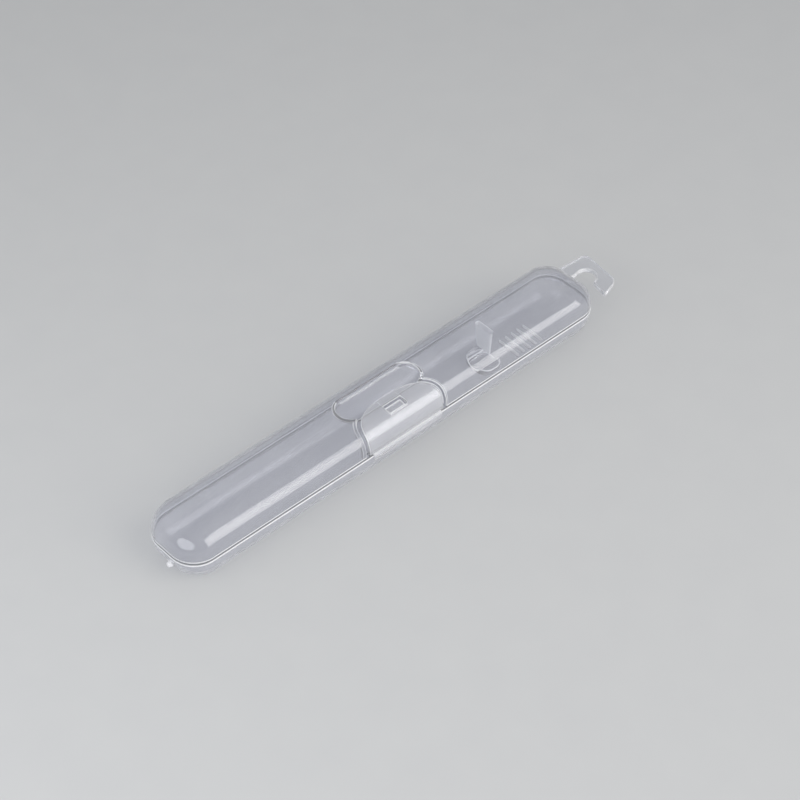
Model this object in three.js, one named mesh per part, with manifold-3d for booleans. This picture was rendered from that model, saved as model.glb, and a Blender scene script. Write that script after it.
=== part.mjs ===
// Travel toothbrush case: a clear polypropylene clamshell whose tray, lid and latch flap are joined
// by thin film hinges. Millimetres, +Z up, +X toward the hanging hook, the latch on the -Y side.
// Forms are drawn about the parting plane, and the whole case then stands on its flat base at Z = 0.

import * as THREE from 'three';
import { mergeVertices } from 'three/addons/utils/BufferGeometryUtils.js';
import Module from 'manifold-3d';

const wasm = await Module();
wasm.setup();

// Case halves
const CASE_LENGTH = 200;
const CASE_WIDTH = 28.5;
const LID_DEPTH = 10.4;
const TRAY_DEPTH = 10.4;
const PLAN_RADIUS = 10.2;
const SHOULDER_WIDTH = 9.7;
const SHOULDER_POWER = 2.95;
const END_SHOULDER_WIDTH = 11.5;
const END_SHOULDER_POWER = 2.3;
const WALL = 1;
const CORNER_STEPS = 8;
const SHOULDER_STEPS = 9;

// Clearances
const PARTING_GAP = 0.3;
const SEAT_GAP = 0.3;
const PIVOT_GAP = 0.1;
const OVERCUT = 1;

// Lid film hinge on the far long side
const LID_FILM_LENGTH = 139;
const FILM_THICKNESS = 0.5;
const LID_FILM_HEIGHT = 1.6;

// Latch flap, its pocket in the lid and its film hinge
const FLAP_HALF_WIDTH = 17.8;
const FLAP_REACH = 12.35;
const FLAP_ARCH_POWER = 2.5;
const FLAP_THICKNESS = 1.2;
const FLAP_FOOT = 0.45;
const FLAP_UNDER_GAP = 0.5;
const POCKET_MARGIN = 1.6;
const ARCH_STEPS = 40;
const LATCH_BAR_LENGTH = 33;
const LATCH_BAR_TOP = 1;
const LATCH_BAR_BOTTOM = -1.2;
const LATCH_LEAF_HEIGHT = 0.7;

// Window in the flap, the channel that leads to it, and the catch inside it
const WINDOW_LENGTH = 8.4;
const WINDOW_WIDTH = 4;
const WINDOW_Y = -7.7;
const WINDOW_CLEARANCE = 0.4;
const CHANNEL_SKIN = 0.35;
const CATCH_CLEARANCE = 0.45;

// Finger scoop in the lid's crown
const SCOOP_LENGTH = 37.3;
const SCOOP_WIDTH = 11.5;
const SCOOP_Y = 1.55;
const SCOOP_DEPTH = 2.6;
const SCOOP_FLOOR_HALF_WIDTH = 1;
const SCOOP_POWER = 3;

// Neck tab under the lid and neck saddle in the tray
const NECK_X = 51.5;
const TAB_ROOT_THICKNESS = 1.8;
const TAB_TIP_THICKNESS = 1;
const TAB_ROOT_WIDTH = 8;
const TAB_TIP_WIDTH = 6.8;
const TAB_TIP_Z = -1.5;
const SADDLE_LENGTH = 10;
const SADDLE_WIDTH = 12.6;
const SADDLE_TOP_Z = -6.4;
const SADDLE_CORNER = 4;
const GROOVE_RADIUS = 3.8;
const GROOVE_FLOOR = 0.7;

// Drain slots through the tray's floor
const SLOT_COUNT = 5;
const SLOT_PITCH = 3.1;
const SLOT_WIDTH = 1;
const SLOT_LENGTH = 10.6;
const SLOT_MIDDLE_X = 71;

// Hanging hook on the end of the tray
const HOOK_THICKNESS = 2;
const HOOK_REACH = 17;
const HOOK_TIP_REACH = 14.8;
const HOOK_MOUTH = 6.1;
const HOOK_ROOT_Y = 12.8;
const HOOK_FAR_Y = 11.15;
const HOOK_TIP_Y = -7.4;
const HOOK_MOUTH_Y = -9.7;
const HOOK_CORNER = 2.7;
const HOOK_TIP_CORNER = 1.3;
const EYE_RADIUS = 4;
const EYE_OFFSET = 8.1;
const EYE_Y = 2.05;
const EYE_ROOT_ANGLE = THREE.MathUtils.degToRad(112);
const EYE_MOUTH_ANGLE = THREE.MathUtils.degToRad(-94);

// Moulding gate left on the other end
const GATE_RADIUS = 1.3;
const GATE_TIP_RADIUS = 0.8;
const GATE_REACH = 0.5;
const GATE_Y = -1.8;
const GATE_Z = -5.2;

const pocketDepth = FLAP_THICKNESS + FLAP_UNDER_GAP;
const rim = PARTING_GAP / 2;
const sideY = CASE_WIDTH / 2;
const endX = CASE_LENGTH / 2;

// Solids and geometries

function toSolid(geometry) {
  geometry.deleteAttribute('normal');
  geometry.deleteAttribute('uv');
  const merged = mergeVertices(geometry, 1e-4);
  return new wasm.Manifold(new wasm.Mesh({
    numProp: 3,
    vertProperties: Float32Array.from(merged.attributes.position.array),
    triVerts: Uint32Array.from(merged.index.array),
  }));
}

function toGeometry(solid) {
  const mesh = solid.getMesh();
  const geometry = new THREE.BufferGeometry();
  geometry.setAttribute('position', new THREE.BufferAttribute(mesh.vertProperties, 3));
  geometry.setIndex(new THREE.BufferAttribute(mesh.triVerts, 1));
  geometry.computeVertexNormals();
  return geometry;
}

function block(low, high) {
  const size = new THREE.Vector3().subVectors(high, low);
  const middle = new THREE.Vector3().addVectors(low, high).multiplyScalar(0.5);
  const geometry = new THREE.BoxGeometry(size.x, size.y, size.z);
  return toSolid(geometry.translate(middle.x, middle.y, middle.z));
}

function prism(shape, lowZ, highZ) {
  const depth = highZ - lowZ;
  const geometry = new THREE.ExtrudeGeometry(shape, { depth, bevelEnabled: false, curveSegments: 16 });
  return toSolid(geometry.translate(0, 0, lowZ));
}

// Rounded rectangle in plan, counted anticlockwise, at one height.
function planRing(halfLength, halfWidth, radius, z) {
  const points = [];
  for (let corner = 0; corner < 4; corner += 1) {
    const side = corner === 0 || corner === 3 ? 1 : -1;
    const upper = corner < 2 ? 1 : -1;
    const middleX = side * (halfLength - radius);
    const middleY = upper * (halfWidth - radius);
    for (let step = 0; step <= CORNER_STEPS; step += 1) {
      const angle = (corner + step / CORNER_STEPS) * Math.PI / 2;
      const x = middleX + radius * Math.cos(angle);
      const y = middleY + radius * Math.sin(angle);
      points.push(new THREE.Vector3(x, y, z));
    }
  }
  return points;
}

// Closed skin through rings of equal count, listed from the lowest to the highest.
function loft(rings) {
  const count = rings[0].length;
  const points = rings.flat();
  const faces = [];
  for (let level = 0; level < rings.length - 1; level += 1) {
    for (let step = 0; step < count; step += 1) {
      const a = level * count + step;
      const b = level * count + (step + 1) % count;
      faces.push(a, b, b + count, a, b + count, a + count);
    }
  }
  const top = (rings.length - 1) * count;
  for (let step = 1; step < count - 1; step += 1) {
    faces.push(0, step + 1, step);
    faces.push(top, top + step, top + step + 1);
  }
  const geometry = new THREE.BufferGeometry().setFromPoints(points);
  geometry.setIndex(faces);
  return toSolid(geometry);
}

// How far a shoulder has drawn in where it has risen by a share of its height.
function drawIn(width, power, rise) {
  return width * (1 - Math.max(1 - rise ** power, 0) ** (1 / power));
}

// One half of the case as a full form: straight at the rim, rounded over its shoulders to a flat
// crown, and rounder at its two ends than along its sides. The inset moves every face inward by the
// same amount, and foot is where the form starts.
function dome(depth, inset, foot) {
  const rings = [planRing(endX - inset, sideY - inset, PLAN_RADIUS - inset, foot)];
  for (let step = 1; step <= SHOULDER_STEPS; step += 1) {
    const rise = Math.sin(step / SHOULDER_STEPS * Math.PI / 2) ** (2 / SHOULDER_POWER);
    const side = inset + drawIn(SHOULDER_WIDTH - inset, SHOULDER_POWER, rise);
    const end = inset + drawIn(END_SHOULDER_WIDTH - inset, END_SHOULDER_POWER, rise);
    rings.push(planRing(endX - end, sideY - side, PLAN_RADIUS - side, (depth - inset) * rise));
  }
  return loft(rings);
}

// The same form turned over, for the tray.
function bowl(depth, inset, foot) {
  return dome(depth, inset, foot).rotate([180, 0, 0]);
}

// Plan of the latch flap: straight at the hinge and arched at its free edge.
function archShape(grow) {
  const shape = new THREE.Shape();
  const halfWidth = FLAP_HALF_WIDTH + grow;
  const reach = FLAP_REACH + grow;
  shape.moveTo(halfWidth, -sideY - OVERCUT);
  for (let step = 0; step <= ARCH_STEPS; step += 1) {
    const angle = step / ARCH_STEPS * Math.PI;
    const across = Math.sign(Math.cos(angle)) * Math.abs(Math.cos(angle)) ** (2 / FLAP_ARCH_POWER);
    const along = Math.max(Math.sin(angle), 0) ** (2 / FLAP_ARCH_POWER);
    shape.lineTo(halfWidth * across, -sideY + reach * along);
  }
  shape.lineTo(-halfWidth, -sideY - OVERCUT);
  return shape;
}

// Finger scoop: a trough with round ends, open at the top.
function trough(grow) {
  const halfLength = SCOOP_LENGTH / 2 + grow;
  const halfWidth = SCOOP_WIDTH / 2 + grow;
  const floorHalfWidth = SCOOP_FLOOR_HALF_WIDTH + grow / 2;
  const depth = SCOOP_DEPTH + grow;
  const rings = [];
  for (let step = SHOULDER_STEPS; step >= 0; step -= 1) {
    const fall = Math.sin(step / SHOULDER_STEPS * Math.PI / 2) ** (2 / SCOOP_POWER);
    const shrink = drawIn(halfWidth - floorHalfWidth, SCOOP_POWER, fall);
    const z = LID_DEPTH - depth * fall;
    rings.push(planRing(halfLength - shrink, halfWidth - shrink, halfWidth - shrink, z));
  }
  rings.push(planRing(halfLength, halfWidth, halfWidth, LID_DEPTH + OVERCUT));
  return loft(rings).translate([0, SCOOP_Y, 0]);
}

// Tray, with its drain slots and the gate mark

function makeTray() {
  let tray = bowl(TRAY_DEPTH, 0, rim).subtract(bowl(TRAY_DEPTH, WALL, rim - OVERCUT));
  const slotRadius = SLOT_WIDTH / 2;
  const slotStraight = SLOT_LENGTH / 2 - slotRadius;
  for (let index = 0; index < SLOT_COUNT; index += 1) {
    const x = SLOT_MIDDLE_X + (index - (SLOT_COUNT - 1) / 2) * SLOT_PITCH;
    const slot = new THREE.Shape();
    slot.absarc(x, slotStraight, slotRadius, 0, Math.PI, false);
    slot.absarc(x, -slotStraight, slotRadius, Math.PI, 2 * Math.PI, false);
    tray = tray.subtract(prism(slot, -TRAY_DEPTH - OVERCUT, -TRAY_DEPTH / 2));
  }
  const gate = new THREE.CylinderGeometry(GATE_TIP_RADIUS, GATE_RADIUS, GATE_REACH + WALL, 16);
  gate.rotateZ(Math.PI / 2);
  gate.translate(-endX - GATE_REACH / 2 + WALL / 2, GATE_Y, GATE_Z);
  const cavity = bowl(TRAY_DEPTH, WALL, rim - OVERCUT);
  return tray.add(toSolid(gate).subtract(cavity));
}

// Lid, with the flap's pocket and the finger scoop pressed into its wall

function makeLid() {
  const pocket = prism(archShape(POCKET_MARGIN), rim - OVERCUT, LID_DEPTH + OVERCUT);
  const pocketBack = prism(archShape(POCKET_MARGIN + WALL), rim - OVERCUT, LID_DEPTH + OVERCUT);
  const outside = dome(LID_DEPTH, 0, rim)
    .subtract(pocket.subtract(dome(LID_DEPTH, pocketDepth, rim - OVERCUT)))
    .subtract(trough(0));
  const inside = dome(LID_DEPTH, WALL, rim - OVERCUT)
    .subtract(pocketBack.subtract(dome(LID_DEPTH, pocketDepth + WALL, rim - OVERCUT)))
    .subtract(trough(WALL));
  return outside.subtract(inside);
}

// Latch flap: a curved leaf flush with the lid, a window for the catch, a channel on its underside
// that leads the catch from the free edge to the window, and the bar that its film hinge folds along.

function makeFlap() {
  const leaf = prism(archShape(0), FLAP_FOOT, LID_DEPTH + OVERCUT)
    .intersect(dome(LID_DEPTH, 0, rim).subtract(dome(LID_DEPTH, FLAP_THICKNESS, rim - OVERCUT)));
  const window = block(
    new THREE.Vector3(-WINDOW_LENGTH / 2, WINDOW_Y - WINDOW_WIDTH / 2, LID_DEPTH / 2),
    new THREE.Vector3(WINDOW_LENGTH / 2, WINDOW_Y + WINDOW_WIDTH / 2, LID_DEPTH + OVERCUT));
  const channel = block(
    new THREE.Vector3(-WINDOW_LENGTH / 2, WINDOW_Y, LID_DEPTH / 2),
    new THREE.Vector3(WINDOW_LENGTH / 2, -sideY + FLAP_REACH + OVERCUT, LID_DEPTH + OVERCUT));
  const leafInside = -sideY + FLAP_THICKNESS;
  const barInside = -sideY - SEAT_GAP;
  const barOutside = barInside - FILM_THICKNESS;
  const bar = block(
    new THREE.Vector3(-LATCH_BAR_LENGTH / 2, barOutside, LATCH_BAR_BOTTOM),
    new THREE.Vector3(LATCH_BAR_LENGTH / 2, barInside, LATCH_BAR_TOP));
  const root = block(
    new THREE.Vector3(-LATCH_BAR_LENGTH / 2, barOutside, FLAP_FOOT),
    new THREE.Vector3(LATCH_BAR_LENGTH / 2, leafInside, LATCH_BAR_TOP));
  return leaf
    .subtract(window)
    .subtract(channel.intersect(dome(LID_DEPTH, CHANNEL_SKIN, rim)))
    .add(bar)
    .add(root);
}

// Height of the lid's form over a place across its width.
function crownHeight(inset, y) {
  const across = Math.max(Math.abs(y) - sideY + SHOULDER_WIDTH, 0) / (SHOULDER_WIDTH - inset);
  return (LID_DEPTH - inset) * (1 - across ** SHOULDER_POWER) ** (1 / SHOULDER_POWER);
}

// Catch on the floor of the pocket: it stands up into the window with a level top, so that its far
// edge lies low enough to pass under the channel's skin.

function makeCatch() {
  const halfLength = WINDOW_LENGTH / 2 - WINDOW_CLEARANCE;
  const nearY = WINDOW_Y - WINDOW_WIDTH / 2 + WINDOW_CLEARANCE;
  const farY = WINDOW_Y + WINDOW_WIDTH / 2 - WINDOW_CLEARANCE;
  const column = block(
    new THREE.Vector3(-halfLength, nearY, LID_DEPTH / 2),
    new THREE.Vector3(halfLength, farY, crownHeight(CHANNEL_SKIN + CATCH_CLEARANCE, nearY)));
  return column.subtract(dome(LID_DEPTH, pocketDepth - SEAT_GAP, rim - OVERCUT));
}

// Neck tab: a plate hung from the lid, drawn thinner and narrower toward its tip.

function makeTab() {
  const edge = TAB_TIP_THICKNESS / 4;
  const tip = planRing(TAB_TIP_THICKNESS / 2, TAB_TIP_WIDTH / 2, edge, TAB_TIP_Z);
  const root = planRing(TAB_ROOT_THICKNESS / 2, TAB_ROOT_WIDTH / 2, edge, LID_DEPTH - WALL - SEAT_GAP);
  return loft([tip, root]).translate([NECK_X, 0, 0]);
}

// Neck saddle: a low cradle shaped to the tray's floor, with a round groove along the brush.

function makeSaddle() {
  const low = planRing(SADDLE_LENGTH / 2, SADDLE_WIDTH / 2, SADDLE_CORNER, -TRAY_DEPTH);
  const high = planRing(SADDLE_LENGTH / 2, SADDLE_WIDTH / 2, SADDLE_CORNER, SADDLE_TOP_Z);
  const floorZ = -TRAY_DEPTH + WALL + SEAT_GAP;
  const grooveLength = SADDLE_LENGTH + 2 * OVERCUT;
  const groove = new THREE.CylinderGeometry(GROOVE_RADIUS, GROOVE_RADIUS, grooveLength, 32);
  groove.rotateZ(Math.PI / 2);
  groove.translate(NECK_X, 0, floorZ + GROOVE_FLOOR + GROOVE_RADIUS);
  return loft([low, high]).translate([NECK_X, 0, 0])
    .intersect(bowl(TRAY_DEPTH, WALL + SEAT_GAP, rim))
    .subtract(toSolid(groove));
}

// Adds a line to an outline, up to a corner that an arc rounds, where the outline turns clockwise.
function roundCorner(shape, before, corner, after, radius) {
  const back = new THREE.Vector2().subVectors(before, corner).normalize();
  const ahead = new THREE.Vector2().subVectors(after, corner).normalize();
  const halfAngle = Math.acos(back.dot(ahead)) / 2;
  const middle = back.clone().add(ahead).setLength(radius / Math.sin(halfAngle)).add(corner);
  const start = back.setLength(radius / Math.tan(halfAngle)).add(corner).sub(middle);
  const end = ahead.setLength(radius / Math.tan(halfAngle)).add(corner).sub(middle);
  shape.absarc(middle.x, middle.y, radius, start.angle(), end.angle(), true);
}

// Hanging hook: a flat J that narrows toward its tip, with a round eye open toward the latch side.

function makeHook() {
  const root = new THREE.Vector2(endX - PLAN_RADIUS, HOOK_ROOT_Y);
  const outerFar = new THREE.Vector2(endX + HOOK_REACH, HOOK_FAR_Y);
  const outerTip = new THREE.Vector2(endX + HOOK_TIP_REACH, HOOK_TIP_Y);
  const innerTip = new THREE.Vector2(endX + HOOK_MOUTH, HOOK_MOUTH_Y);
  const eye = new THREE.Vector2(endX + EYE_OFFSET, EYE_Y);
  const mouthX = eye.x + EYE_RADIUS * Math.cos(EYE_MOUTH_ANGLE);
  const mouth = new THREE.Vector2(mouthX, eye.y + EYE_RADIUS * Math.sin(EYE_MOUTH_ANGLE));
  const shape = new THREE.Shape();
  shape.moveTo(root.x, root.y);
  roundCorner(shape, root, outerFar, outerTip, HOOK_CORNER);
  roundCorner(shape, outerFar, outerTip, innerTip, HOOK_CORNER);
  roundCorner(shape, outerTip, innerTip, mouth, HOOK_TIP_CORNER);
  shape.absarc(eye.x, eye.y, EYE_RADIUS, EYE_MOUTH_ANGLE, EYE_ROOT_ANGLE, false);
  shape.lineTo(root.x, eye.y + EYE_RADIUS * Math.sin(EYE_ROOT_ANGLE));
  return prism(shape, -rim - HOOK_THICKNESS, -rim)
    .subtract(bowl(TRAY_DEPTH, -SEAT_GAP, rim - OVERCUT));
}

// Film hinges: each leaf stands a seat gap off its wall, and folds along the gap between two leaves.

function makeLidFilm(low, high) {
  const inside = sideY + SEAT_GAP;
  return block(
    new THREE.Vector3(-LID_FILM_LENGTH / 2, inside, low),
    new THREE.Vector3(LID_FILM_LENGTH / 2, inside + FILM_THICKNESS, high));
}

function makeLatchFilm() {
  const inside = -sideY - SEAT_GAP;
  const top = LATCH_BAR_BOTTOM - 2 * PIVOT_GAP;
  return block(
    new THREE.Vector3(-LATCH_BAR_LENGTH / 2, inside - FILM_THICKNESS, top - LATCH_LEAF_HEIGHT),
    new THREE.Vector3(LATCH_BAR_LENGTH / 2, inside, top));
}

// Assembly

const clearPlastic = { roughness: 0.22, metalness: 0, transparent: true, opacity: 0.45 };
const shellMaterial = new THREE.MeshStandardMaterial({ color: 0xc9cbd2, ...clearPlastic });
const flapMaterial = new THREE.MeshStandardMaterial({ color: 0xd6d7dc, ...clearPlastic });
const insideMaterial = new THREE.MeshStandardMaterial({ color: 0xcfd0d4, ...clearPlastic });

function addPart(parent, name, solid, material) {
  const mesh = new THREE.Mesh(toGeometry(solid), material);
  mesh.name = name;
  parent.add(mesh);
}

const toothbrushCase = new THREE.Group();
toothbrushCase.position.z = TRAY_DEPTH;

addPart(toothbrushCase, 'tray_shell', makeTray(), shellMaterial);
addPart(toothbrushCase, 'neck_saddle', makeSaddle(), insideMaterial);
addPart(toothbrushCase, 'hanging_hook', makeHook(), shellMaterial);
addPart(toothbrushCase, 'tray_hinge_film', makeLidFilm(-LID_FILM_HEIGHT, -PIVOT_GAP), shellMaterial);
addPart(toothbrushCase, 'latch_hinge_film', makeLatchFilm(), flapMaterial);
addPart(toothbrushCase, 'lid_shell', makeLid(), shellMaterial);
addPart(toothbrushCase, 'lid_hinge_film', makeLidFilm(PIVOT_GAP, LID_FILM_HEIGHT), shellMaterial);
addPart(toothbrushCase, 'neck_tab', makeTab(), insideMaterial);
addPart(toothbrushCase, 'latch_catch', makeCatch(), flapMaterial);
addPart(toothbrushCase, 'latch_flap', makeFlap(), flapMaterial);

const assembly = new THREE.Group();
assembly.add(toothbrushCase);

export default assembly;
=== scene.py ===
import math

import bmesh
import bpy
from mathutils import Matrix, Vector


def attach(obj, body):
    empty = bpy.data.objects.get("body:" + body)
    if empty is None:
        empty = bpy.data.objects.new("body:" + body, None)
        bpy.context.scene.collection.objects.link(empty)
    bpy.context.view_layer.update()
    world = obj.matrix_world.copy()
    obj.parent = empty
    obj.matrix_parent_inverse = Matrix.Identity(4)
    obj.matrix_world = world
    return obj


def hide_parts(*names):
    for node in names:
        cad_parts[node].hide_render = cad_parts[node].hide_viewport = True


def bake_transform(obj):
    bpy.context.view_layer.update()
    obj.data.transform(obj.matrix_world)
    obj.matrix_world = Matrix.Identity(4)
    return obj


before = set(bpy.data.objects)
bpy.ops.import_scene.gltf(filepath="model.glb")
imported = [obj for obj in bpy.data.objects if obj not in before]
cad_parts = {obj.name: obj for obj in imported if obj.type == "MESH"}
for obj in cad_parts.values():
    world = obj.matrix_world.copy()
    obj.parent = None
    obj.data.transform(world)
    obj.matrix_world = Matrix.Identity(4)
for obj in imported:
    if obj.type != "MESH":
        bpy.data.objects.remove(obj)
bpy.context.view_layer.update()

# Tray. The deep lower half of the case, injection moulded in clear, slightly milky polypropylene
# with a wall of 1 mm. Five drain slots pass through its floor near the hook, and a stub of the
# moulding gate is left on the other end. It stands on its flat base.

MM = 0.001
PARTING_Z = 10.4
CASE_LENGTH = 200.0
CASE_WIDTH = 28.5
PLAN_RADIUS = 10.2
HALF_DEPTH = 10.4
SHOULDER_WIDTH = 9.7
SHOULDER_POWER = 2.95
END_SHOULDER_WIDTH = 11.5
END_SHOULDER_POWER = 2.3
STRAIGHT_TOP = 0.2
WALL = 1.0
RIM_GAP = 0.15
RIM_BEAD = 0.5
TRAY_ROUNDING = 0.25
SLOT_COUNT = 5
SLOT_PITCH = 3.1
SLOT_WIDTH = 1.0
SLOT_LENGTH = 10.6
SLOT_MIDDLE_X = 71.0
GATE_RADIUS = 1.3
GATE_TIP_RADIUS = 0.8
GATE_END_X = -100.5
GATE_LENGTH = 1.5
GATE_Y = -1.8
GATE_Z = -5.2
GATE_DIMPLE_RIM = 0.35
GATE_DIMPLE_DEPTH = 0.2
CUT_OVERRUN = 1.0
CORNER_STEPS = 22
SHOULDER_STEPS = 25
INSIDE_STEPS = 24
SLOT_END_STEPS = 8
GATE_SIDES = 24


def at(x, y, z):
    """A place in millimetres about the parting plane, as metres above the base."""
    return Vector((x * MM, y * MM, (z + PARTING_Z) * MM))


def rounded_plate(name, size, corner, middle, facing_down=False, steps=CORNER_STEPS):
    """A flat face with round corners, left selected in edit mode."""
    bpy.ops.object.select_all(action="DESELECT")
    bpy.ops.mesh.primitive_plane_add(size=1)
    plate = bpy.context.object
    plate.name = name
    plate.scale = (size[0] * MM, size[1] * MM, 1)
    plate.rotation_euler = (math.pi if facing_down else 0, 0, 0)
    plate.location = at(*middle)
    bpy.ops.object.transform_apply(location=True, rotation=True, scale=True)
    bpy.ops.object.mode_set(mode="EDIT")
    bpy.ops.mesh.select_all(action="SELECT")
    bpy.ops.mesh.bevel(
        offset=corner * MM, segments=steps, profile=0.5, affect="VERTICES", clamp_overlap=False)
    bpy.ops.mesh.select_all(action="SELECT")
    bpy.ops.mesh.remove_doubles(threshold=0.001 * MM)
    bpy.ops.mesh.select_mode(type="FACE")
    bpy.ops.mesh.select_all(action="SELECT")
    return plate


def raise_face(height):
    """Pulls the selected face up by a height, or down where it is below nought."""
    bpy.ops.mesh.extrude_region_move(TRANSFORM_OT_translate={"value": (0, 0, height * MM)})


def step_in(rings):
    """Insets the selected face ring after ring: each ring is how far in and how far out of it."""
    for shrink, height in rings:
        bpy.ops.mesh.inset(thickness=shrink * MM, depth=height * MM, use_even_offset=True)


def shoulder_rings(width, depth, power=SHOULDER_POWER, steps=SHOULDER_STEPS):
    """The steps of a rounded shoulder, from its foot to the edge of the flat crown."""
    rings = []
    last = (0.0, 0.0)
    for step in range(1, steps + 1):
        angle = step / steps * math.pi / 2
        shrink = width * (1 - max(math.cos(angle), 0.0) ** (2 / power))
        height = depth * math.sin(angle) ** (2 / power)
        rings.append((shrink - last[0], height - last[1]))
        last = (shrink, height)
    return rings


def draw_in(width, power, rise):
    """How far a shoulder has drawn in where it has risen by a share of its height."""
    return width * (1 - max(1 - rise ** power, 0.0) ** (1 / power))


def half_case(name, inset, foot, down=False, steps=SHOULDER_STEPS):
    """One half of the case as a full form, each face moved inward by the inset. Its two ends are
    rounder than its sides, so they are drawn in further."""
    size = (CASE_LENGTH - 2 * inset, CASE_WIDTH - 2 * inset)
    sign = -1 if down else 1
    form = rounded_plate(name, size, PLAN_RADIUS - inset, (0, 0, sign * foot), facing_down=down)
    raise_face(sign * (STRAIGHT_TOP - foot))
    rings = shoulder_rings(SHOULDER_WIDTH - inset, HALF_DEPTH - inset, steps=steps)
    rings[0] = (rings[0][0], rings[0][1] - STRAIGHT_TOP)
    step_in(rings)
    bpy.ops.object.mode_set(mode="OBJECT")
    for vertex in form.data.vertices:
        rise = min(abs(vertex.co.z / MM - PARTING_Z) / (HALF_DEPTH - inset), 1.0)
        end = draw_in(END_SHOULDER_WIDTH - inset, END_SHOULDER_POWER, rise)
        side = draw_in(SHOULDER_WIDTH - inset, SHOULDER_POWER, rise)
        vertex.co.x -= math.copysign((end - side) * MM, vertex.co.x)
    return form


def pick(piece):
    """Selects one piece alone and makes it the active one."""
    bpy.ops.object.select_all(action="DESELECT")
    piece.select_set(True)
    bpy.context.view_layer.objects.active = piece


def select_faces(piece, wanted):
    """Goes into edit mode with just the faces selected that a test on centre and normal wants."""
    pick(piece)
    bpy.ops.object.mode_set(mode="EDIT")
    bpy.ops.mesh.select_mode(type="FACE")
    bpy.ops.mesh.select_all(action="DESELECT")
    mesh = bmesh.from_edit_mesh(piece.data)
    for face in mesh.faces:
        face.select_set(wanted(face.calc_center_median(), face.normal))
    bmesh.update_edit_mesh(piece.data)


def split_level(piece, height):
    """Splits a piece's faces along a level line, so that each side of it can differ."""
    select_faces(piece, lambda centre, normal: True)
    bpy.ops.mesh.bisect(plane_co=at(0, 0, height), plane_no=(0, 0, 1))
    bpy.ops.object.mode_set(mode="OBJECT")


def block(name, low, high):
    """A plain block between two corners, for cutting with or building on."""
    bpy.ops.object.select_all(action="DESELECT")
    bpy.ops.mesh.primitive_cube_add(size=1)
    made = bpy.context.object
    made.name = name
    made.location = (at(*low) + at(*high)) / 2
    made.scale = at(*high) - at(*low)
    bpy.ops.object.transform_apply(location=True, rotation=True, scale=True)
    return made


def finish_with(piece, kind, **settings):
    """Adds one modifier to a piece and applies it."""
    pick(piece)
    bpy.ops.object.modifier_add(type=kind)
    modifier = piece.modifiers[-1]
    for name, value in settings.items():
        setattr(modifier, name, value)
    bpy.ops.object.modifier_apply(modifier=modifier.name)


SORT_ALONG = Vector((1.0, 1 / math.sqrt(3), 1 / math.sqrt(7)))


def combine(piece, tool, how="DIFFERENCE"):
    """Cuts a tool out of a piece, or joins or crosses the two, and throws the tool away. That
    leaves the mesh in any order, so it is sorted by place and comes out the same each run."""
    finish_with(piece, "BOOLEAN", operation=how, solver="EXACT", object=tool)
    bpy.data.objects.remove(tool)
    mesh = bmesh.new()
    mesh.from_mesh(piece.data)
    mesh.verts.sort(key=lambda vertex: vertex.co.dot(SORT_ALONG))
    mesh.edges.sort(key=lambda edge: (edge.verts[0].co + edge.verts[1].co).dot(SORT_ALONG))
    mesh.faces.sort(key=lambda face: face.calc_center_median().dot(SORT_ALONG))
    mesh.to_mesh(piece.data)
    mesh.free()


# The edge plastics are whiter: painted highlights along rounded edges, and on the tray also the gate
# stub's real strain white.
SKIN, EDGE, PAINTED_HIGHLIGHT = 0, 1, 2
MERGE_DISTANCE = 0.06
ROUNDING_STEPS = 3
SHARP_ANGLE = math.radians(42)
SMOOTH_ANGLE = math.radians(40)
LARGE_FACE_WEIGHT = 50


def give_plastic(piece, which, wanted):
    """Gives the skin's or an edge's plastic to the faces that a test on centre and normal wants,
    with the centre in millimetres about the parting plane."""
    for face in piece.data.polygons:
        middle = Vector(face.center) / MM - Vector((0, 0, PARTING_Z))
        if wanted(middle, face.normal):
            face.material_index = which


def soften_edges(piece, width, skin, edge):
    """Rounds the sharp edges that the mould leaves, and shades the piece as one smooth skin.
    The skin has one plastic and the rounded edges another, whiter one, a painted highlight along
    each edge."""
    piece.data.materials.append(skin)
    piece.data.materials.append(edge)
    pick(piece)
    bpy.ops.object.mode_set(mode="EDIT")
    bpy.ops.mesh.select_all(action="SELECT")
    bpy.ops.mesh.remove_doubles(threshold=MERGE_DISTANCE * MM)
    bpy.ops.object.mode_set(mode="OBJECT")
    finish_with(piece, "BEVEL", width=width * MM, segments=ROUNDING_STEPS, limit_method="ANGLE",
                angle_limit=SHARP_ANGLE, use_clamp_overlap=False, material=EDGE)
    bpy.ops.object.shade_smooth_by_angle(angle=SMOOTH_ANGLE)
    finish_with(piece, "WEIGHTED_NORMAL", keep_sharp=True, weight=LARGE_FACE_WEIGHT)


class Wire:
    """A socket in a material's nodes, so that shader maths reads as plain sums."""

    def __init__(self, tree, socket=None):
        self.tree = tree
        self.socket = socket

    def node(self, kind, settings, inputs, output=0):
        """A new node of a kind, with its settings and its inputs' values or links."""
        made = self.tree.nodes.new("ShaderNode" + kind)
        for name, value in settings.items():
            setattr(made, name, value)
        for name, value in inputs.items():
            if isinstance(value, Wire):
                self.tree.links.new(value.socket, made.inputs[name])
            else:
                made.inputs[name].default_value = value
        return Wire(self.tree, made.outputs[output] if made.outputs else None)

    def maths(self, operation, first, second):
        return self.node("Math", {"operation": operation}, {0: first, 1: second})

    def __add__(self, other):
        return self.maths("ADD", self, other)

    def __mul__(self, other):
        return self.maths("MULTIPLY", self, other)

    __radd__ = __add__
    __rmul__ = __mul__

    def noise(self, stretch, detail=2.0):
        """Soft noise on this vector, with so many lumps to the metre each way."""
        scaled = self.node(
            "VectorMath", {"operation": "MULTIPLY"}, {0: self, 1: stretch})
        return self.node("TexNoise", {}, {"Vector": scaled, "Scale": 1.0, "Detail": detail})

    def spread(self, low, high):
        """This value from nought at low to one at high."""
        return self.node("MapRange", {}, {"Value": self, "From Min": low, "From Max": high})


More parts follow.
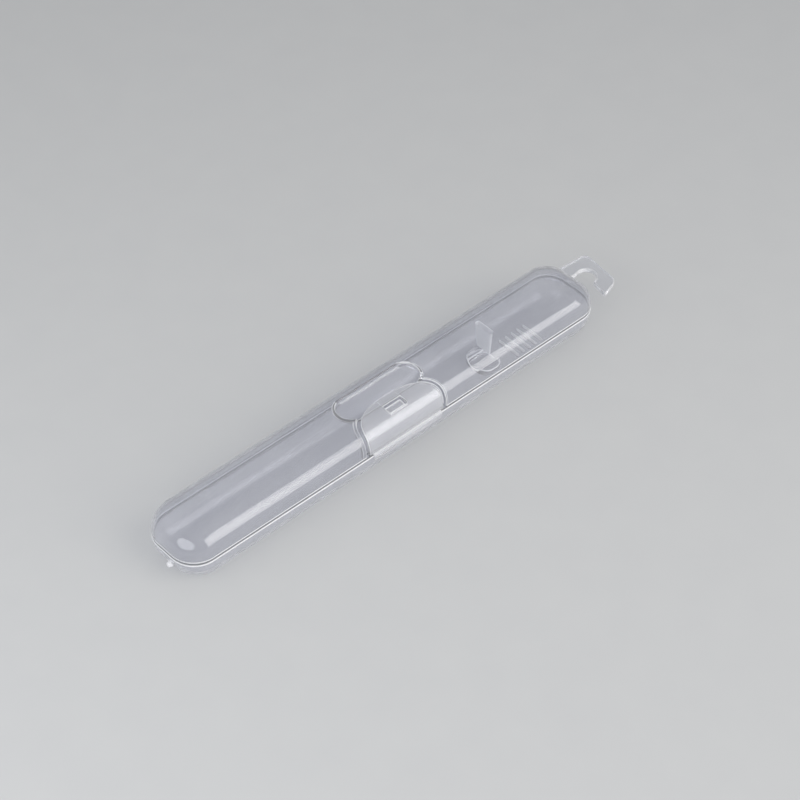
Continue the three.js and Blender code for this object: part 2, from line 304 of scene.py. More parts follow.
POLYPROPYLENE_IOR = 1.49
STREAK_LUMPS = (14.0, 420.0, 420.0)
CLOUD_LUMPS = (38.0, 70.0, 70.0)
RIPPLE_LUMPS = (60.0, 190.0, 190.0)
SCUFF_LUMPS = (95.0, 1500.0, 1500.0)
SCUFF_LEVELS = (0.66, 0.78)
HAZE_LEVELS = (0.32, 0.68)
STREAKS_IN_HAZE = 0.25
STREAK_ROUGHNESS = 0.035
SCUFF_ROUGHNESS = 0.08
STREAKS_IN_BUMP = 0.4
BUMP_STRENGTH = 0.10
BUMP_HEIGHT = 0.25
GRAZING_COLOUR = (0.93, 0.932, 0.945, 1)
GRAZING_TRANSMISSION = 0.25
GRAZING_LEVELS = (0.62, 1.0)
GRAZING_SHARE = 0.7
PASSED_LIGHT = (0.895, 0.898, 0.912, 1)


def clear_polypropylene(name, clear, milky, transmission, roughness):
    """Moulded clear polypropylene: faint flow streaks along it, clouding and fine scuffs, and
    milkier where the eye looks along the wall. Light on its way to or from a lamp passes straight
    through, so that the case has a pale shadow."""
    material = bpy.data.materials.new(name)
    material.use_nodes = True
    tree = material.node_tree
    tree.nodes.clear()
    start = Wire(tree)
    place = start.node("TexCoord", {}, {}, output="Object")
    streaks = place.noise(STREAK_LUMPS, detail=3.0)
    clouds = place.noise(CLOUD_LUMPS)
    ripple = place.noise(RIPPLE_LUMPS)
    scuffs = place.noise(SCUFF_LUMPS, detail=1.0).spread(*SCUFF_LEVELS)
    haze = (clouds * (1 - STREAKS_IN_HAZE) + streaks * STREAKS_IN_HAZE).spread(*HAZE_LEVELS)
    colour = start.node(
        "Mix", {"data_type": "RGBA"}, {"Factor": haze, 6: clear, 7: milky}, output=2)
    sheen = roughness + STREAK_ROUGHNESS * streaks + SCUFF_ROUGHNESS * scuffs
    waviness = streaks * STREAKS_IN_BUMP + ripple * (1 - STREAKS_IN_BUMP)
    bump = start.node("Bump", {}, {
        "Strength": BUMP_STRENGTH, "Distance": BUMP_HEIGHT * MM, "Height": waviness})
    plain = start.node("BsdfPrincipled", {}, {
        "Base Color": colour, "Roughness": sheen, "IOR": POLYPROPYLENE_IOR,
        "Transmission Weight": transmission, "Normal": bump})
    cloudy = start.node("BsdfPrincipled", {}, {
        "Base Color": GRAZING_COLOUR, "Roughness": sheen, "IOR": POLYPROPYLENE_IOR,
        "Transmission Weight": GRAZING_TRANSMISSION, "Normal": bump})
    grazing = start.node("LayerWeight", {}, {}, output="Facing").spread(*GRAZING_LEVELS)
    plastic = start.node(
        "MixShader", {}, {0: grazing * grazing * GRAZING_SHARE, 1: plain, 2: cloudy})
    passed = start.node("BsdfTransparent", {}, {"Color": PASSED_LIGHT})
    scattered = start.node("LightPath", {}, {}, output="Is Diffuse Ray")
    to_lamps = start.node("LightPath", {}, {}, output="Is Shadow Ray")
    seen = start.node("MixShader", {}, {0: scattered, 1: plastic, 2: passed})
    lit = start.node("MixShader", {}, {0: to_lamps, 1: seen, 2: passed})
    start.node("OutputMaterial", {}, {"Surface": lit})
    return material


tray_plastic = clear_polypropylene(
    "clear_tray_plastic", clear=(0.78, 0.787, 0.825, 1), milky=(0.845, 0.849, 0.88, 1),
    transmission=0.86, roughness=0.02)
# Whiter plastic for rounded edges: a painted highlight along them, and on the tray the real white of
# the strained gate stub.
highlight_and_strain_edge = clear_polypropylene(
    "clear_edge_highlight_and_strain", clear=(0.82, 0.825, 0.85, 1), milky=(0.88, 0.882, 0.90, 1),
    transmission=0.22, roughness=0.12)
# A still whiter edge plastic, a painted highlight: the lit sides of the drain slots and the edges of
# the saddle and the tab.
painted_highlight_edge = clear_polypropylene(
    "clear_painted_highlight_edge", clear=(0.95, 0.952, 0.965, 1), milky=(0.98, 0.98, 0.985, 1),
    transmission=0.08, roughness=0.15)

LEAST_OUTWARD = 0.2
SQUARE_ON = 0.9
SLOT_FOOT_ROUNDING = 0.2
SLOT_EDGE_LEAN = 0.3
GATE_LEAST_PROUD = 0.04


def faces_out(middle, normal):
    """Whether a face near the rim looks away from the middle of the case."""
    straight = (CASE_LENGTH - CASE_WIDTH) / 2
    away = Vector((middle.x - max(-straight, min(straight, middle.x)), middle.y, 0)).normalized()
    return normal.dot(away) > LEAST_OUTWARD


def is_rim_highlight(middle, normal):
    """Whether a face is the outside of the tray's rim, which gets a painted highlight line."""
    return middle.z > -RIM_GAP - RIM_BEAD and faces_out(middle, normal)


def is_slot_highlight(middle, normal):
    """Whether a face is on a drain slot's long side toward the hook, above its rounded foot, where a
    painted highlight goes.
    """
    in_slots = abs(middle.x - SLOT_MIDDLE_X) < SLOT_COUNT * SLOT_PITCH / 2
    in_floor = SLOT_FOOT_ROUNDING - HALF_DEPTH < middle.z < -HALF_DEPTH / 2
    return in_slots and in_floor and normal.x < -SLOT_EDGE_LEAN


def is_on_gate(middle, normal):
    """Whether a face stands proud of the plain end, on the torn stub of the gate, which is white
    from the strain."""
    rise = max(-middle.z, 0.0) / HALF_DEPTH
    end = draw_in(END_SHOULDER_WIDTH, END_SHOULDER_POWER, rise) - CASE_LENGTH / 2
    return middle.x < end - GATE_LEAST_PROUD and abs(middle.z - GATE_Z) < 2 * GATE_RADIUS


tray = half_case("tray", 0, RIM_GAP, down=True)
combine(
    tray, half_case("tray_inside", WALL, RIM_GAP - CUT_OVERRUN, down=True, steps=INSIDE_STEPS))
split_level(tray, -RIM_GAP - RIM_BEAD)

slots = rounded_plate(
    "slot_cutter", (SLOT_WIDTH, SLOT_LENGTH), SLOT_WIDTH / 2,
    (SLOT_MIDDLE_X - (SLOT_COUNT - 1) / 2 * SLOT_PITCH, 0, -HALF_DEPTH - CUT_OVERRUN),
    steps=SLOT_END_STEPS)
raise_face(WALL + 2 * CUT_OVERRUN)
bpy.ops.object.mode_set(mode="OBJECT")
finish_with(
    slots, "ARRAY", count=SLOT_COUNT, use_relative_offset=False, use_constant_offset=True,
    constant_offset_displace=(SLOT_PITCH * MM, 0, 0))
combine(tray, slots)

bpy.ops.object.select_all(action="DESELECT")
bpy.ops.mesh.primitive_cone_add(
    vertices=GATE_SIDES, radius1=GATE_RADIUS * MM, radius2=GATE_TIP_RADIUS * MM,
    depth=GATE_LENGTH * MM, rotation=(0, -math.pi / 2, 0),
    location=at(GATE_END_X + GATE_LENGTH / 2, GATE_Y, GATE_Z))
gate = bpy.context.object
bpy.ops.object.transform_apply(location=True, rotation=True, scale=True)
select_faces(gate, lambda centre, normal: normal.x < -SQUARE_ON)
bpy.ops.mesh.inset(thickness=GATE_DIMPLE_RIM * MM, depth=-GATE_DIMPLE_DEPTH * MM)
bpy.ops.object.mode_set(mode="OBJECT")
combine(tray, gate, "UNION")
soften_edges(tray, TRAY_ROUNDING, tray_plastic, highlight_and_strain_edge)
tray.data.materials.append(painted_highlight_edge)
# The rounded edges all take the whiter plastic, a painted highlight; the lower half and the rim then
# go back to the skin.
give_plastic(tray, SKIN, lambda middle, normal: middle.z < -HALF_DEPTH / 2)
# The slots' long sides toward the hook get a painted highlight.
give_plastic(tray, PAINTED_HIGHLIGHT, is_slot_highlight)
give_plastic(tray, SKIN, lambda middle, normal: middle.z > -RIM_GAP - RIM_BEAD)
# The outside of the rim gets a painted highlight line; the gate stub below keeps its real strain
# white.
give_plastic(tray, EDGE, is_rim_highlight)
give_plastic(tray, EDGE, is_on_gate)
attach(tray, "tray")
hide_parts("tray_shell")

# Neck saddle. A low cradle that holds the brush by its neck, moulded on the tray's floor in the
# same plastic. A round groove runs along it, and its edges are softened by the mould.

SADDLE_SIZE = (10.0, 12.6)
SADDLE_CORNER = 4.0
SADDLE_CORNER_STEPS = 12
SADDLE_ROUNDING = 0.3
SADDLE_FOOT_Z = -9.36
SADDLE_TOP_Z = -6.4
NECK_X = 51.5
GROOVE_RADIUS = 3.8
GROOVE_Z = -4.6
GROOVE_SIDES = 72

saddle_plastic = clear_polypropylene(
    "clear_saddle_plastic", clear=(0.76, 0.765, 0.79, 1), milky=(0.83, 0.835, 0.86, 1),
    transmission=0.92, roughness=0.03)

saddle = rounded_plate(
    "neck_saddle_cradle", SADDLE_SIZE, SADDLE_CORNER, (NECK_X, 0, SADDLE_FOOT_Z),
    steps=SADDLE_CORNER_STEPS)
raise_face(SADDLE_TOP_Z - SADDLE_FOOT_Z)
bpy.ops.object.mode_set(mode="OBJECT")
bpy.ops.object.select_all(action="DESELECT")
bpy.ops.mesh.primitive_cylinder_add(
    vertices=GROOVE_SIDES, radius=GROOVE_RADIUS * MM, depth=(SADDLE_SIZE[0] + 2 * CUT_OVERRUN) * MM,
    rotation=(0, math.pi / 2, 0), location=at(NECK_X, 0, GROOVE_Z))
groove = bpy.context.object
bpy.ops.object.transform_apply(location=True, rotation=True, scale=True)
combine(saddle, groove)
# Its rounded edges take the whitest plastic, a painted highlight.
soften_edges(saddle, SADDLE_ROUNDING, saddle_plastic, painted_highlight_edge)
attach(saddle, "tray")
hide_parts("neck_saddle")

# Hanging hook. A flat J of 2 mm plate on the tray's end, moulded in one with it. It narrows toward
# its tip, has a round eye that opens toward the latch side, and well rounded edges.

HOOK_ROOT = (89.8, 12.8)
HOOK_OUTER_FAR = (117.0, 11.15)
HOOK_OUTER_TIP = (114.8, -7.4)
HOOK_INNER_TIP = (106.1, -9.7)
HOOK_TOP_Z = -0.15
HOOK_THICKNESS = 2.0
HOOK_CORNER = 2.7
HOOK_TIP_CORNER = 1.3
HOOK_CORNER_STEPS = 12
HOOK_ROUNDING = 0.25
HOOK_EDGE_LEAN = 0.5
EYE_X = 108.1
EYE_Y = 2.05
EYE_RADIUS = 4.0
EYE_ROOT_ANGLE = math.radians(112)
EYE_MOUTH_ANGLE = math.radians(-94)
EYE_SIDES = 96
SEAT_CLEARANCE = 0.03
SAME_PLACE = 0.05

# Whiter plastic on the hook's rounded edges and upright sides, a painted highlight.
hook_highlight_edge = clear_polypropylene(
    "clear_hook_highlight_edge", clear=(0.88, 0.885, 0.91, 1), milky=(0.93, 0.935, 0.95, 1),
    transmission=0.5, roughness=0.10)


def around_eye(angle):
    """A place in plan on the rim of the hook's eye."""
    return EYE_X + EYE_RADIUS * math.cos(angle), EYE_Y + EYE_RADIUS * math.sin(angle)


def round_upright_edge(piece, x, y, radius):
    """Rounds the upright edge of a piece that stands at a place in plan."""
    pick(piece)
    bpy.ops.object.mode_set(mode="EDIT")
    bpy.ops.mesh.select_mode(type="EDGE")
    bpy.ops.mesh.select_all(action="DESELECT")
    mesh = bmesh.from_edit_mesh(piece.data)
    for edge in mesh.edges:
        middle = (edge.verts[0].co + edge.verts[1].co) / 2
        run = edge.verts[0].co - edge.verts[1].co
        near = math.hypot(middle.x - x * MM, middle.y - y * MM) < SAME_PLACE * MM
        edge.select_set(near and abs(run.z) > SQUARE_ON * run.length)
    bmesh.update_edit_mesh(piece.data)
    bpy.ops.mesh.bevel(
        offset=radius * MM, segments=HOOK_CORNER_STEPS, affect="EDGES", clamp_overlap=False)
    bpy.ops.object.mode_set(mode="OBJECT")


hook_neck = around_eye(EYE_ROOT_ANGLE)
hook_outline = [
    HOOK_ROOT, (HOOK_ROOT[0], hook_neck[1]), hook_neck, around_eye(EYE_MOUTH_ANGLE),
    HOOK_INNER_TIP, HOOK_OUTER_TIP, HOOK_OUTER_FAR]
bpy.ops.object.select_all(action="DESELECT")
bpy.ops.mesh.primitive_circle_add(vertices=len(hook_outline), fill_type="NGON")
hook = bpy.context.object
hook.name = "hanging_hook_plate"
for vertex, (x, y) in zip(hook.data.vertices, hook_outline, strict=True):
    vertex.co = at(x, y, HOOK_TOP_Z)
bpy.ops.object.mode_set(mode="EDIT")
bpy.ops.mesh.select_mode(type="FACE")
bpy.ops.mesh.select_all(action="SELECT")
raise_face(-HOOK_THICKNESS)
bpy.ops.mesh.select_all(action="SELECT")
bpy.ops.mesh.normals_make_consistent(inside=False)
bpy.ops.object.mode_set(mode="OBJECT")
round_upright_edge(hook, *HOOK_OUTER_FAR, HOOK_CORNER)
round_upright_edge(hook, *HOOK_OUTER_TIP, HOOK_CORNER)
round_upright_edge(hook, *HOOK_INNER_TIP, HOOK_TIP_CORNER)
bpy.ops.object.select_all(action="DESELECT")
bpy.ops.mesh.primitive_cylinder_add(
    vertices=EYE_SIDES, radius=EYE_RADIUS * MM, depth=(HOOK_THICKNESS + 2 * CUT_OVERRUN) * MM,
    location=at(EYE_X, EYE_Y, HOOK_TOP_Z - HOOK_THICKNESS / 2))
eye = bpy.context.object
bpy.ops.object.transform_apply(location=True, rotation=True, scale=True)
combine(hook, eye)
combine(hook, half_case("tray_end_cutter", -SEAT_CLEARANCE, 0, down=True))
soften_edges(hook, HOOK_ROUNDING, tray_plastic, hook_highlight_edge)
# Its upright sides take the whiter plastic too, a painted highlight.
give_plastic(hook, EDGE, lambda middle, normal: abs(normal.z) < HOOK_EDGE_LEAN)
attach(hook, "tray")
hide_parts("hanging_hook")

# Lid. The upper half, as deep as the tray and moulded with it in the same plastic. A pocket for
# the latch flap follows its near shoulder, with a round-ended finger scoop beside it, both pressed
# through to the inside. A fine rebate at its foot leaves the tray's rim showing, with a painted
# highlight line on that rim and painted shade on the rebate's outside.

FLAP_HALF_WIDTH = 17.8
FLAP_REACH = 12.35
FLAP_ARCH_POWER = 2.5
FLAP_ARCH_STEPS = 48
SIDE_Y = CASE_WIDTH / 2
POCKET_MARGIN = 1.6
POCKET_DEPTH = 1.7
SCOOP_SIZE = (37.3, 11.5)
SCOOP_Y = 1.55
SCOOP_DEPTH = 2.6
SCOOP_FLOOR_HALF_WIDTH = 1.0
SCOOP_POWER = 3.0
SCOOP_STEPS = 20
SCOOP_EDGE_OVERRUN = 2.0
REBATE_DEPTH = 0.3
REBATE_TOP_Z = 0.9
REBATE_SKIN_Z = 0.75
REBATE_SHADE_Z = 0.95
LID_LINE_Z = 1.5
LID_ROUNDING = 0.2
REBATE_SHADE = 2


def arch_column(name, grow, low, high):
    """An upright column over the flap's plan: straight at the hinge, arched at the free edge. It
    starts as a plate of two by two, whose corners at the free edge are rounded to meet."""
    bpy.ops.object.select_all(action="DESELECT")
    bpy.ops.mesh.primitive_plane_add(size=2)
    column = bpy.context.object
    column.name = name
    bpy.ops.object.mode_set(mode="EDIT")
    bpy.ops.mesh.select_mode(type="VERT")
    bpy.ops.mesh.select_all(action="DESELECT")
    mesh = bmesh.from_edit_mesh(column.data)
    for vertex in mesh.verts:
        vertex.select_set(vertex.co.y > 0)
    bmesh.update_edit_mesh(column.data)
    squareness = 4 ** (-1 / FLAP_ARCH_POWER)
    bpy.ops.mesh.bevel(
        offset=1, segments=FLAP_ARCH_STEPS, profile=squareness, affect="VERTICES",
        clamp_overlap=False)
    bpy.ops.mesh.select_all(action="SELECT")
    bpy.ops.mesh.remove_doubles(threshold=0.0001)
    bpy.ops.object.mode_set(mode="OBJECT")
    column.scale = ((FLAP_HALF_WIDTH + grow) * MM, (FLAP_REACH + grow) * MM, 1)
    column.location = at(0, -SIDE_Y, low)
    bpy.ops.object.transform_apply(location=True, rotation=True, scale=True)
    bpy.ops.object.mode_set(mode="EDIT")
    bpy.ops.mesh.select_mode(type="FACE")
    bpy.ops.mesh.select_all(action="SELECT")
    raise_face(high - low)
    bpy.ops.mesh.select_all(action="SELECT")
    bpy.ops.mesh.normals_make_consistent(inside=False)
    bpy.ops.object.mode_set(mode="OBJECT")
    return column


def scoop_form(name, grow):
    """The finger scoop as a full form, its open top a little above the crown."""
    size = (SCOOP_SIZE[0] + 2 * grow, SCOOP_SIZE[1] + 2 * grow)
    form = rounded_plate(
        name, size, size[1] / 2, (0, SCOOP_Y, HALF_DEPTH + CUT_OVERRUN), facing_down=True)
    raise_face(-CUT_OVERRUN)
    width = size[1] / 2 - SCOOP_FLOOR_HALF_WIDTH - grow / 2
    step_in(shoulder_rings(width, SCOOP_DEPTH + grow, power=SCOOP_POWER, steps=SCOOP_STEPS))
    bpy.ops.object.mode_set(mode="OBJECT")
    return form


def lid_form(name, inset, foot, steps):
    """The lid as a full form with pocket and scoop pressed in, moved inward by the inset."""
    form = half_case(name, inset, foot, steps=steps)
    pocket = arch_column(
        name + "_pocket", POCKET_MARGIN + inset, foot - CUT_OVERRUN, HALF_DEPTH + 2 * CUT_OVERRUN)
    combine(pocket, half_case(name + "_floor", POCKET_DEPTH + inset, foot - 2 * CUT_OVERRUN))
    combine(form, pocket)
    combine(form, scoop_form(name + "_scoop", inset))
    return form


def is_shaded_rebate_wall(middle, normal):
    """Whether a face is the outside of the rebate, which is painted dark as the shade in that
    crevice.
    """
    return middle.z < REBATE_SHADE_Z and faces_out(middle, normal)


def is_on_far_scoop_edge(middle, normal):
    """Whether a face lies on the scoop's straight edge away from the latch, which keeps the skin's
    plastic, so that no painted highlight line shows on it."""
    straight = (SCOOP_SIZE[0] - SCOOP_SIZE[1]) / 2
    beside = abs(middle.x) < straight + SCOOP_EDGE_OVERRUN
    return beside and middle.y > SCOOP_Y + SCOOP_SIZE[1] / 4 and middle.z > LID_LINE_Z


def is_lid_highlight_line(middle, normal):
    """Whether a face is on the band above the rebate, which gets a painted highlight line."""
    return REBATE_TOP_Z < middle.z < LID_LINE_Z and faces_out(middle, normal)


lid_plastic = clear_polypropylene(
    "clear_lid_plastic", clear=(0.755, 0.762, 0.80, 1), milky=(0.825, 0.83, 0.86, 1),
    transmission=0.90, roughness=0.02)
# A dark plastic for the rebate's outside: painted shade in the crevice between lid and tray.
rebate_shade_plastic = clear_polypropylene(
    "clear_painted_shade_rebate", clear=(0.22, 0.225, 0.24, 1), milky=(0.28, 0.285, 0.30, 1),
    transmission=0.60, roughness=0.10)

lid = lid_form("lid", 0, RIM_GAP, SHOULDER_STEPS)
combine(lid, lid_form("lid_inside", WALL, RIM_GAP - CUT_OVERRUN, INSIDE_STEPS))
rebate = block(
    "rim_rebate", (-CASE_LENGTH / 2 - CUT_OVERRUN, -SIDE_Y - CUT_OVERRUN, -CUT_OVERRUN),
    (CASE_LENGTH / 2 + CUT_OVERRUN, SIDE_Y + CUT_OVERRUN, REBATE_TOP_Z))
kept = rounded_plate(
    "rim_kept", (CASE_LENGTH - 2 * REBATE_DEPTH, CASE_WIDTH - 2 * REBATE_DEPTH),
    PLAN_RADIUS - REBATE_DEPTH, (0, 0, -2 * CUT_OVERRUN))
raise_face(REBATE_TOP_Z + 3 * CUT_OVERRUN)
bpy.ops.object.mode_set(mode="OBJECT")
combine(rebate, kept)
combine(lid, rebate)
split_level(lid, LID_LINE_Z)
soften_edges(lid, LID_ROUNDING, lid_plastic, highlight_and_strain_edge)
lid.data.materials.append(rebate_shade_plastic)
# The rounded edges keep the whiter plastic, a painted highlight, except at the foot and the scoop's
# far edge; the band above the rebate gets it too, and the rebate's outside the painted shade.
give_plastic(lid, SKIN, lambda middle, normal: middle.z < REBATE_SKIN_Z)
give_plastic(lid, REBATE_SHADE, is_shaded_rebate_wall)
give_plastic(lid, SKIN, is_on_far_scoop_edge)
give_plastic(lid, EDGE, is_lid_highlight_line)
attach(lid, "lid")
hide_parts("lid_shell")

# Neck tab. A plate moulded on the inside of the lid, over the saddle, that presses on the brush's
# neck. It gets thinner and narrower toward its tip and flares where it joins the lid.

TAB_ROOT = (1.8, 8.0)
TAB_TIP = (1.0, 6.8)
TAB_ROOT_Z = 9.37
TAB_TIP_Z = -1.5
TAB_CORNER = 0.9
TAB_CORNER_STEPS = 6
TAB_ROUNDING = 0.2
TAB_FLARE = 0.25
TAB_FLARE_SHARES = (0.62, 0.26, 0.12)
TAB_FLARE_HEIGHTS = (0.12, 0.26, 0.5)
TAB_HIGHLIGHT_ROOT = 0.1

tab_plastic = clear_polypropylene(
    "clear_tab_plastic", clear=(0.92, 0.925, 0.945, 1), milky=(0.95, 0.953, 0.965, 1),
    transmission=0.30, roughness=0.06)

tab = rounded_plate(
    "neck_tab_plate", (TAB_ROOT[0] + 2 * TAB_FLARE, TAB_ROOT[1] + 2 * TAB_FLARE), TAB_CORNER,
    (NECK_X, 0, TAB_ROOT_Z), facing_down=True, steps=TAB_CORNER_STEPS)
step_in(
    (TAB_FLARE * share, height) for share, height in zip(TAB_FLARE_SHARES, TAB_FLARE_HEIGHTS))
raise_face(TAB_TIP_Z - TAB_ROOT_Z + sum(TAB_FLARE_HEIGHTS))
bpy.ops.transform.resize(
    value=(TAB_TIP[0] / TAB_ROOT[0], TAB_TIP[1] / TAB_ROOT[1], 1),
    center_override=at(NECK_X, 0, TAB_TIP_Z))
bpy.ops.object.mode_set(mode="OBJECT")
soften_edges(tab, TAB_ROUNDING, tab_plastic, painted_highlight_edge)
# Its rounded edges and the top of its root take the whitest plastic, a painted highlight.
give_plastic(tab, EDGE, lambda middle, normal: middle.z > TAB_ROOT_Z - TAB_HIGHLIGHT_ROOT)
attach(tab, "lid")
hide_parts("neck_tab")

# Catch. A low block moulded on the floor of the pocket, that the flap's window closes over. Its
# top is level and its edges are rounded.

CATCH_LOW = (-3.8, -9.3, 5.0)
CATCH_HIGH = (3.8, -6.1, 9.06)
CATCH_ROUNDING = 0.45

flap_plastic = clear_polypropylene(
    "clear_flap_plastic", clear=(0.795, 0.80, 0.83, 1), milky=(0.85, 0.854, 0.876, 1),
    transmission=0.77, roughness=0.09)

catch = block("latch_catch_block", CATCH_LOW, CATCH_HIGH)
combine(catch, half_case("pocket_floor_cutter", POCKET_DEPTH - SEAT_CLEARANCE, RIM_GAP))
# Its rounded edges take the whiter plastic, a painted highlight.
soften_edges(catch, CATCH_ROUNDING, flap_plastic, highlight_and_strain_edge)
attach(catch, "lid")
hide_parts("latch_catch")

# Latch flap. A curved leaf of 1.2 mm that lies flush in the lid's pocket, with a window for the
# catch, a channel on its underside that leads the catch in, and a bar along its film hinge.

FLAP_THICKNESS = 1.2
FLAP_FOOT_Z = 0.45
FLAP_ROUNDING = 0.13
FLAP_EDGE_DEPTH = 0.4
WINDOW_LOW = (-4.2, -9.7)
WINDOW_HIGH = (4.2, -5.7)
WINDOW_CUT_FOOT_Z = 5.0
WINDOW_CUT_TOP_Z = 12.0
WINDOW_LINE = 0.05
CHANNEL_START_Y = -7.7
CHANNEL_SKIN = 0.35
CHANNEL_STEPS = 26
BAR_HALF_LENGTH = 16.5
BAR_OUTSIDE_Y = -15.05
BAR_INSIDE_Y = -14.55
BAR_TOP_Z = 1.0
BAR_FOOT_Z = -0.7
BAR_SKIN = 0.1
BAR_LINE = 0.12
BAR_LINE_LEAN = 0.3


def is_under_flap_edge(middle, normal):
    """Whether a face lies well under the lid's outer form, where that form runs straight along."""
    over_shoulder = max(-middle.y - SIDE_Y + SHOULDER_WIDTH, 0) / SHOULDER_WIDTH
    top = HALF_DEPTH - draw_in(HALF_DEPTH, SHOULDER_POWER, over_shoulder)
    return top - middle.z > FLAP_EDGE_DEPTH


def is_bar_highlight_line(middle, normal):
    """Whether a face is the upper outer edge of the bar, which gets a painted highlight line."""
    on_top = abs(middle.z - BAR_TOP_Z) < BAR_LINE and normal.z > BAR_LINE_LEAN
    return on_top and middle.y < -SIDE_Y


def is_window_highlight_line(middle, normal):
    """Whether a face is the window's side nearest the hinge, which gets a painted highlight line."""
    return abs(middle.y - WINDOW_LOW[1]) < WINDOW_LINE and normal.y > SQUARE_ON


flap = half_case("latch_flap_leaf", 0, RIM_GAP)
combine(
    flap,
    half_case("flap_underside", FLAP_THICKNESS, RIM_GAP - CUT_OVERRUN, steps=INSIDE_STEPS))
combine(flap, arch_column("flap_plan", 0, FLAP_FOOT_Z, HALF_DEPTH + CUT_OVERRUN), "INTERSECT")
window = block(
    "window_cutter", (*WINDOW_LOW, WINDOW_CUT_FOOT_Z), (*WINDOW_HIGH, WINDOW_CUT_TOP_Z))
combine(flap, window)
channel = block(
    "channel_cutter", (WINDOW_LOW[0], CHANNEL_START_Y, WINDOW_CUT_FOOT_Z),
    (WINDOW_HIGH[0], 0, WINDOW_CUT_TOP_Z))
combine(
    channel, half_case("channel_roof", CHANNEL_SKIN, RIM_GAP, steps=CHANNEL_STEPS), "INTERSECT")
combine(flap, channel)
bar = block(
    "flap_bar", (-BAR_HALF_LENGTH, BAR_OUTSIDE_Y, BAR_FOOT_Z),
    (BAR_HALF_LENGTH, BAR_INSIDE_Y, BAR_TOP_Z))
root = block(
    "flap_root", (-BAR_HALF_LENGTH, BAR_OUTSIDE_Y, FLAP_FOOT_Z),
    (BAR_HALF_LENGTH, FLAP_THICKNESS - SIDE_Y, BAR_TOP_Z))
combine(bar, root, "UNION")
combine(flap, bar, "UNION")
soften_edges(flap, FLAP_ROUNDING, flap_plastic, highlight_and_strain_edge)
# The rounded edges take the whiter plastic, a painted highlight, except under the lid's outer form
# and low on the bar; the bar's top edge and the window's near side get it too.
give_plastic(flap, SKIN, is_under_flap_edge)
give_plastic(flap, SKIN, lambda middle, normal: middle.z < BAR_TOP_Z + BAR_SKIN)
give_plastic(flap, EDGE, is_bar_highlight_line)
give_plastic(flap, EDGE, is_window_highlight_line)
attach(flap, "latch")
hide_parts("latch_flap")

# Film hinges. Thin webs of the same moulding, built straight, where the real case folds: a long one
# between tray and lid on the far side, and a short one between the tray's near rim and the flap's
# bar.

LID_WEB_HALF_LENGTH = 69.5
LID_WEB_LOW = (14.27, -1.6)
LID_WEB_HIGH = (15.05, 1.6)
LID_WEB_ROWS = 16
LID_WEB_BEND = 1.0
LID_AXIS_Y = 15.1
LATCH_WEB_LOW = (-15.05, -2.1)
LATCH_WEB_HIGH = (-14.55, -0.72)
LATCH_WEB_ROWS = 14
LATCH_WEB_BEND = 0.5
LATCH_AXIS_Y = -15.15
LATCH_AXIS_Z = -1.3
WEB_ROUNDING = 0.15
WEB_ROUNDING_STEPS = 2
WEB_SMOOTH_ANGLE = math.radians(50)


def folding_web(name, half_length, low, high, rows, plastic):
    """A thin upright strip with rounded edges, cut into rows along its height."""
    web = block(name, (-half_length, *low), (half_length, *high))
    finish_with(
        web, "BEVEL", width=WEB_ROUNDING * MM, segments=WEB_ROUNDING_STEPS,
        use_clamp_overlap=False)
    for row in range(1, rows):
        split_level(web, low[1] + (high[1] - low[1]) * row / rows)
    bpy.ops.object.shade_smooth_by_angle(angle=WEB_SMOOTH_ANGLE)
    web.data.materials.append(plastic)
    return web


lid_web = folding_web(
    "lid_hinge_web", LID_WEB_HALF_LENGTH, LID_WEB_LOW, LID_WEB_HIGH, LID_WEB_ROWS, lid_plastic)
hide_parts("tray_hinge_film", "lid_hinge_film")
at(0, LID_AXIS_Y, -LID_WEB_BEND)
at(0, LID_AXIS_Y, LID_WEB_BEND)
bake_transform(lid_web)

latch_web = folding_web(
    "latch_hinge_web", BAR_HALF_LENGTH, LATCH_WEB_LOW, LATCH_WEB_HIGH, LATCH_WEB_ROWS, flap_plastic)
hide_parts("latch_hinge_film")
at(0, LATCH_AXIS_Y, LATCH_AXIS_Z - LATCH_WEB_BEND)
at(0, LATCH_AXIS_Y, LATCH_AXIS_Z + LATCH_WEB_BEND)
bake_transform(latch_web)

# Floor. A plain pale sheet of matt board that the case lies on. It is set a hair below the base,
# so that the two faces don't share a plane.

FLOOR_HALF_SIZE = 4.0
FLOOR_DROP = 0.04
BOARD_GRAIN_LUMPS = (60.0, 60.0, 60.0)
BOARD_ROUGHNESS = 0.75
BOARD_GRAIN_ROUGHNESS = 0.1
BOARD_SPECULAR = 0.25
BOARD_DARK = (0.575, 0.58, 0.59, 1)
BOARD_PALE = (0.60, 0.605, 0.61, 1)

bpy.ops.object.select_all(action="DESELECT")
bpy.ops.mesh.primitive_plane_add(size=2 * FLOOR_HALF_SIZE, location=(0, 0, -FLOOR_DROP * MM))
floor = bpy.context.object
floor.name = "floor"
floor_board = bpy.data.materials.new("pale_board")
floor_board.use_nodes = True
floor_board.node_tree.nodes.clear()
board = Wire(floor_board.node_tree)
grain = board.node("TexCoord", {}, {}, output="Object").noise(BOARD_GRAIN_LUMPS, detail=4.0)
board_colour = board.node(
    "Mix", {"data_type": "RGBA"}, {"Factor": grain, 6: BOARD_DARK, 7: BOARD_PALE}, output=2)
matt = board.node("BsdfPrincipled", {}, {
    "Base Color": board_colour, "Roughness": BOARD_ROUGHNESS + BOARD_GRAIN_ROUGHNESS * grain,
    "Specular IOR Level": BOARD_SPECULAR})
board.node("OutputMaterial", {}, {"Surface": matt})
floor.data.materials.append(floor_board)

# Light and camera. A large soft box in front and to the right, with a grid, lies along the lid's
# near shoulder as a broad bright strip. An oval one beyond the plain end gives the spot on that end,
# and the surround is even and pale. The camera stands where the photograph was taken from.

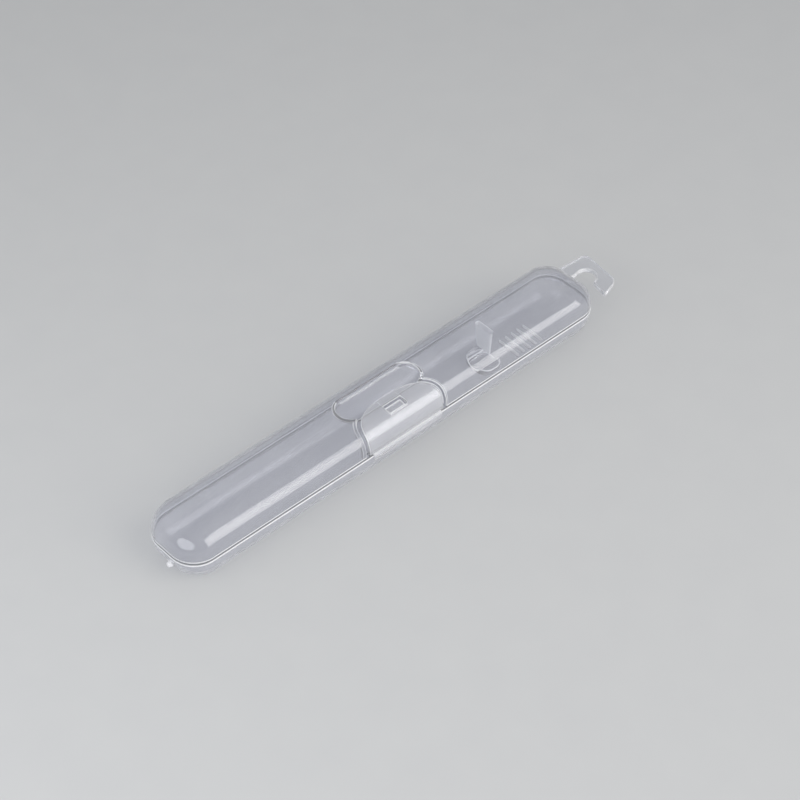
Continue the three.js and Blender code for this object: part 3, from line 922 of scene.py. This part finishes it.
SURROUND_COLOUR = (0.96, 0.98, 1.0, 1)
SURROUND_STRENGTH = 0.38
CAMERA_PLACE = (-425.77, -471.86, 645.95)
CAMERA_ROUND = math.radians(42.061)
CAMERA_UP = math.radians(45.464)
CAMERA_SENSOR = 36.0
CAMERA_LENS = 112.55
CAMERA_SHIFT = (0.0242, 0.0161)

world = bpy.data.worlds.new("pale_surround")
bpy.context.scene.world = world
world.use_nodes = True
surround = world.node_tree.nodes["Background"]
surround.inputs["Color"].default_value = SURROUND_COLOUR
surround.inputs["Strength"].default_value = SURROUND_STRENGTH


def soft_box(name, toward, distance, shape, size, spread, power, colour):
    """A soft box that looks at the case from one direction, its width level along the case, with
    its light kept within a spread in degrees."""
    lamp = bpy.data.lights.new(name, "AREA")
    lamp.shape = shape
    lamp.size, lamp.size_y = size
    lamp.spread = math.radians(spread)
    lamp.energy = power
    lamp.color = colour
    box = bpy.data.objects.new(name, lamp)
    bpy.context.scene.collection.objects.link(box)
    back = Vector(toward).normalized()
    side = Vector((-back.y, back.x, 0)).normalized()
    box.location = at(0, 0, 0) + back * distance
    box.rotation_euler = Matrix((side, back.cross(side), back)).transposed().to_euler()


soft_box(
    "front_box", toward=(0.29, -0.811, 0.509), distance=1.1, shape="RECTANGLE", size=(0.9, 1.25),
    spread=101, power=4.5, colour=(1.0, 0.985, 0.96))
soft_box(
    "end_box", toward=(-0.87, -0.02, 0.51), distance=0.7, shape="ELLIPSE", size=(0.78, 0.5),
    spread=180, power=2.4, colour=(0.97, 0.985, 1.0))

camera_data = bpy.data.cameras.new("camera")
camera_data.sensor_width = CAMERA_SENSOR
camera_data.lens = CAMERA_LENS
camera_data.shift_x, camera_data.shift_y = CAMERA_SHIFT
camera = bpy.data.objects.new("camera", camera_data)
bpy.context.scene.collection.objects.link(camera)
camera.location = at(*CAMERA_PLACE)
camera.rotation_euler = (math.pi / 2 - CAMERA_UP, 0, -CAMERA_ROUND)
bpy.context.scene.camera = camera
bpy.context.scene.view_settings.view_transform = "Standard"
